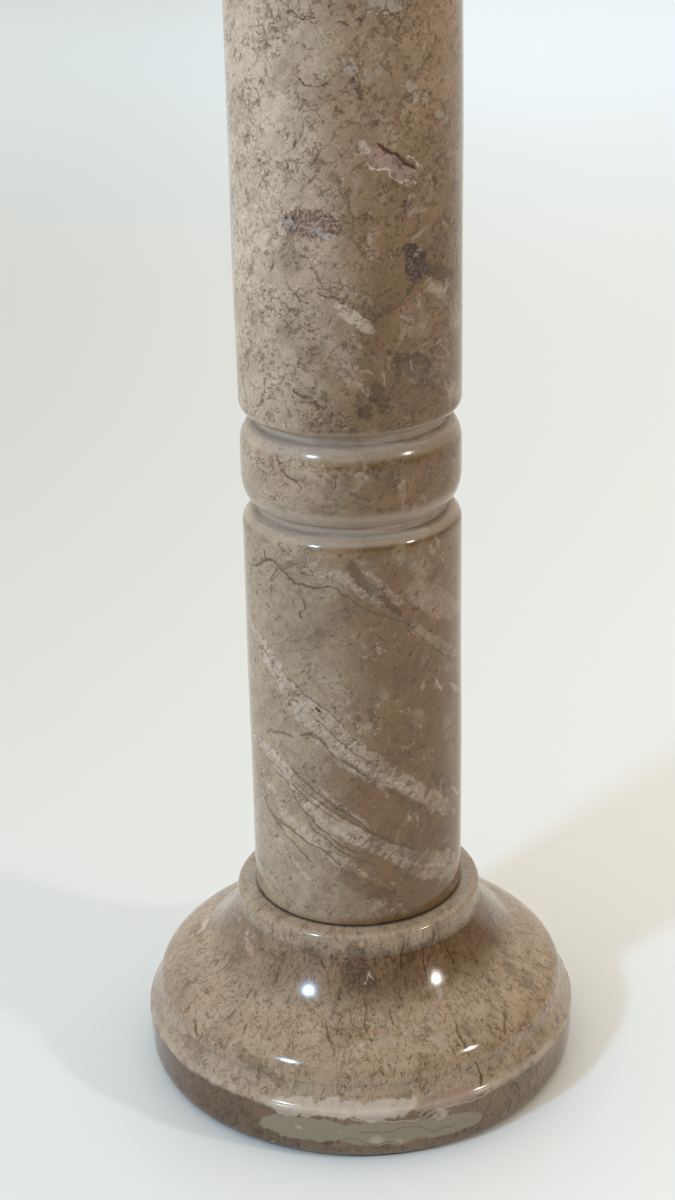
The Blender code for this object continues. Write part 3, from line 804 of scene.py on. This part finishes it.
def meridian_dashes(m, colour):
    """Short dark dashes that run up and down the turned mouldings, and not over the flat top."""
    mouldings = m.ramp(m.radius, 30.0, 85.0)
    flat = m.vector("MULTIPLY", m.place, (1.0, 1.0, 0.0))
    ring = m.vector("MULTIPLY", m.vector("NORMALIZE", flat), (DASH_RING, DASH_RING, 0.0))
    x, y = m.parts(ring)[:2]
    height = m.mul(m.math("SUBTRACT", m.up, m.mul(m.radius, DASH_SLOPE)), DASH_STRETCH)
    vector = m.add("ShaderNodeCombineXYZ", {0: x, 1: y, 2: height}).outputs[0]
    dashes = m.pattern("dashes", vector)
    gate = m.ramp(m.pattern("dash gaps", vector), 0.46, 0.60, 0.12, 1.0)
    dark = m.mul(m.ramp(dashes, 0.58, 0.66), gate, mouldings)
    colour = marked(m, "dashes", dark, colour)
    threads = m.mul(m.contour(m.pattern("dash threads", vector), 0.5, 0.028),
                    m.crisp(m.pattern("dash thread gaps", vector), 0.52, 0.05), mouldings)
    colour = marked(m, "dash threads", threads, colour)
    pale = m.mul(m.ramp(dashes, 0.40, 0.32), mouldings)
    return laid(m, "pale dashes", pale, colour, PALE_BEIGE)


def ground_grooves(m, colour, rough):
    """The turned grooves are ground and not polished: paler and dull, with fine scores."""
    ground = m.ramp(m.radius, SHAFT_R - 3.0, SHAFT_R - 6.0)
    inside = m.mul(m.ramp(m.up, SHAFT_FOOT + 3.0, SHAFT_FOOT + 6.0),
                   m.ramp(m.up, SHAFT_TOP - 3.0, SHAFT_TOP - 6.0))
    ground = m.mul(ground, inside)
    scores = m.pattern("scores", m.vector("MULTIPLY", m.place, SCORE_SQUASH))
    patchy = m.ramp(m.pattern("ground patches"), 0.38, 0.6, 0.20, 0.75)
    rim = m.mul(m.ramp(m.radius, SHAFT_R - 0.5, SHAFT_R - 2.0), inside)
    colour = laid(m, "groove rim", rim, colour, PALE_BEIGE)
    colour = m.mix(m.mul(ground, patchy), colour, GROUND)
    colour = m.mix(ground, colour, m.mix(1.0, colour, m.ramp(scores, 0.35, 0.65, 0.84, 1.12),
                                         "MULTIPLY"))
    bump = m.add("ShaderNodeBump", {"Height": m.mul(scores, ground), "Strength": SCORE_BUMP,
                                    "Distance": SCORE_DEPTH})
    m.put(bump.outputs[0], m.shader.inputs["Normal"])
    dull = m.math("MAXIMUM", m.mul(rim, RIM_DULL), m.mul(ground, GROUND_DULL))
    return colour, m.math("MAXIMUM", rough, dull)


def base_zones(m, colour):
    """Painted shade in the cove and on the plinth face, painted light on the seat's rim and the
    lip's slope, a painted highlight along the lip's edge, and a dark joint.
    """
    # Painted shade in the cove under the seat, stronger to the right.
    cove_shade = m.mul(m.ramp(m.radius, SHELF_R - 6.0, SEAT_R + 8.0),
                 m.ramp(m.up, BASE_TOP - 10.0, BASE_TOP - 18.0),
                 m.ramp(m.side, -0.6, 0.6, 0.50, 0.85))
    colour = m.mix(cove_shade, colour, COVE_SHADE_TINT, "MULTIPLY")
    # Painted light on the seat's rounded top rim, where it faces up.
    lit_seat = m.ramp(m.up, BASE_TOP - 9.0, BASE_TOP - 3.0)
    colour = laid(m, "seat rim light", lit_seat, colour, PALE_BEIGE)
    joint = m.mul(m.ramp(m.radius, SHAFT_R + 1.0, SHAFT_R + 0.2),
                  m.ramp(m.up, BASE_TOP - 2.0, BASE_TOP - 1.0))
    colour = laid(m, "joint", joint, colour, BLACK)
    # Painted light on the upward-facing slope between the lip and the hollow.
    lit_slope = m.mul(m.ramp(m.up, LIP_Z - 2.0, LIP_Z), m.ramp(m.up, VALLEY_Z + 1.0, VALLEY_Z - 1.0))
    colour = laid(m, "lip slope light", lit_slope, colour, FOSSIL)
    # Painted shade on the plinth face below the lip, strongest on the left.
    plinth_shade = m.mul(m.ramp(m.up, LIP_Z - 0.5, LIP_Z - 3.0),
                   m.ramp(m.side, -0.75, 0.0, 0.92, 0.60))
    colour = m.mix(plinth_shade, colour, PLINTH_SHADE_TINT, "MULTIPLY")
    # Painted highlight along the lip's edge, broken up by noise.
    lip_highlight = m.mul(m.ramp(m.up, LIP_Z - 4.5, LIP_Z - 2.0), m.ramp(m.up, LIP_Z + 4.0, LIP_Z + 1.0),
                m.ramp(m.pattern("lip highlight"), 0.38, 0.58))
    return laid(m, "lip highlight", lip_highlight, colour, PALE_BEIGE)


base = turned("marble_base", base_profile(), "base_stone")
shaft = turned("marble_shaft", shaft_profile(), "shaft_stone")
capital = turned("marble_capital", capital_profile(), "capital_stone")
base.data.materials.append(marble("base_marble", "base", BASE_LAYERS))
capital.data.materials.append(marble("capital_marble", "capital", []))
# The shaft's stone is the same above and below the low groove; only the drawn features differ.
shaft.data.materials.append(marble("lower_shaft_marble", "shaft", LOWER_LAYERS))
shaft.data.materials.append(marble("upper_shaft_marble", "shaft", UPPER_LAYERS))
shaft.data.polygons.foreach_set("material_index", [
    int(polygon.center.z > LOW_GROOVE * MM) for polygon in shaft.data.polygons])
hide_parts("base")
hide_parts("shaft")
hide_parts("capital")


# Floor, light, camera

FLOOR_REACH = 9.0
# The floor's darker left is painted shade.
FLOOR_SHADED_LEFT, FLOOR_RIGHT = (0.66, 0.67, 0.655), (0.79, 0.795, 0.785)
FLOOR_EDGES, FLOOR_ROUGH, FLOOR_GLOSS = (-0.7, 0.6), 0.9, 0.1
BRIGHT_SIDE = Vector((-0.45, 0.55, 0.70)).normalized()
BRIGHT_LIGHT, DIM_LIGHT = (1.10, 1.03, 0.90), (0.14, 0.10, 0.06)
LIGHT_EDGES = (-0.45, 0.55)
AIM = Vector((0.0, 0.0, 0.1))
WINDOW_AWAY = Vector((-0.55, -0.58, 0.64)).normalized() * 2.6
LAMP_AWAY = Vector((0.763, -0.373, 0.529)).normalized() * 2.6
WASH_PLACE, WASH_AIM = Vector((0.3, 5.2, 3.2)), Vector((0.3, 5.2, 0.0))
# Lamps: name, place, aim, width and height in metres, power in watts, colour.
LAMPS = [("window_left", AIM + WINDOW_AWAY, AIM, 0.19, 0.16, 33.0, (0.36, 0.59, 0.86)),
         ("lamp_right", AIM + LAMP_AWAY, AIM, 0.16, 0.16, 15.0, (1.0, 0.96, 0.86)),
         ("far_wash", WASH_PLACE, WASH_AIM, 3.0, 3.0, 62.0, (0.34, 0.66, 1.0))]


def pale_floor():
    """Level floor with painted shade: darker to the left, a little paler to the right."""
    mesh = bpy.data.meshes.new("floor")
    mesh.from_pydata([(-FLOOR_REACH, -FLOOR_REACH, 0), (FLOOR_REACH, -FLOOR_REACH, 0),
                      (FLOOR_REACH, FLOOR_REACH, 0), (-FLOOR_REACH, FLOOR_REACH, 0)],
                     [], [(0, 1, 2, 3)])
    floor = bpy.data.objects.new("floor", mesh)
    bpy.context.scene.collection.objects.link(floor)
    f = Sheet("pale_floor")
    across = f.parts(f.add("ShaderNodeTexCoord").outputs["Object"])[0]
    f.put(f.mix(f.ramp(across, *FLOOR_EDGES), FLOOR_SHADED_LEFT, FLOOR_RIGHT),
          f.shader.inputs["Base Color"])
    f.shader.inputs["Roughness"].default_value = FLOOR_ROUGH
    f.shader.inputs["Specular IOR Level"].default_value = FLOOR_GLOSS
    mesh.materials.append(f.material)


def area_light(name, place, target, width, height, power, colour):
    data = bpy.data.lights.new(name, "AREA")
    data.shape = "RECTANGLE"
    data.size, data.size_y, data.energy, data.color = width, height, power, colour
    light = bpy.data.objects.new(name, data)
    light.location = place
    aim = Vector(target) - Vector(place)
    light.rotation_euler = aim.to_track_quat("-Z", "Y").to_euler()
    bpy.context.scene.collection.objects.link(light)


def add_camera():
    """The photograph's viewing angle."""
    right, up, forward = camera_axes()
    data = bpy.data.cameras.new("photo_camera")
    data.sensor_width = SENSOR
    data.lens = FOCAL_PX / PHOTO_H * SENSOR
    camera = bpy.data.objects.new("photo_camera", data)
    turn = Matrix((right, up, -forward)).transposed().to_4x4()
    camera.matrix_world = Matrix.Translation(CAMERA_PLACE) @ turn
    bpy.context.scene.collection.objects.link(camera)
    bpy.context.scene.camera = camera


def studio_world():
    """Soft room light: bright from above, the left and behind, and dim from front right."""
    world = bpy.data.worlds.new("studio")
    bpy.context.scene.world = world
    world.use_nodes = True
    tree = world.node_tree
    where = tree.nodes.new("ShaderNodeTexCoord")
    toward = tree.nodes.new("ShaderNodeVectorMath")
    toward.operation = "DOT_PRODUCT"
    toward.inputs[1].default_value = BRIGHT_SIDE
    share = tree.nodes.new("ShaderNodeMapRange")
    share.interpolation_type = "SMOOTHSTEP"
    share.inputs["From Min"].default_value, share.inputs["From Max"].default_value = LIGHT_EDGES
    blend = tree.nodes.new("ShaderNodeMix")
    blend.data_type = "RGBA"
    blend.inputs[6].default_value = (*DIM_LIGHT, 1.0)
    blend.inputs[7].default_value = (*BRIGHT_LIGHT, 1.0)
    tree.links.new(where.outputs["Generated"], toward.inputs[0])
    tree.links.new(toward.outputs["Value"], share.inputs["Value"])
    tree.links.new(share.outputs["Result"], blend.inputs[0])
    tree.links.new(blend.outputs[2], tree.nodes["Background"].inputs["Color"])


pale_floor()
studio_world()
for lamp in LAMPS:
    area_light(*lamp)
bpy.context.scene.view_settings.view_transform = "Standard"
add_camera()
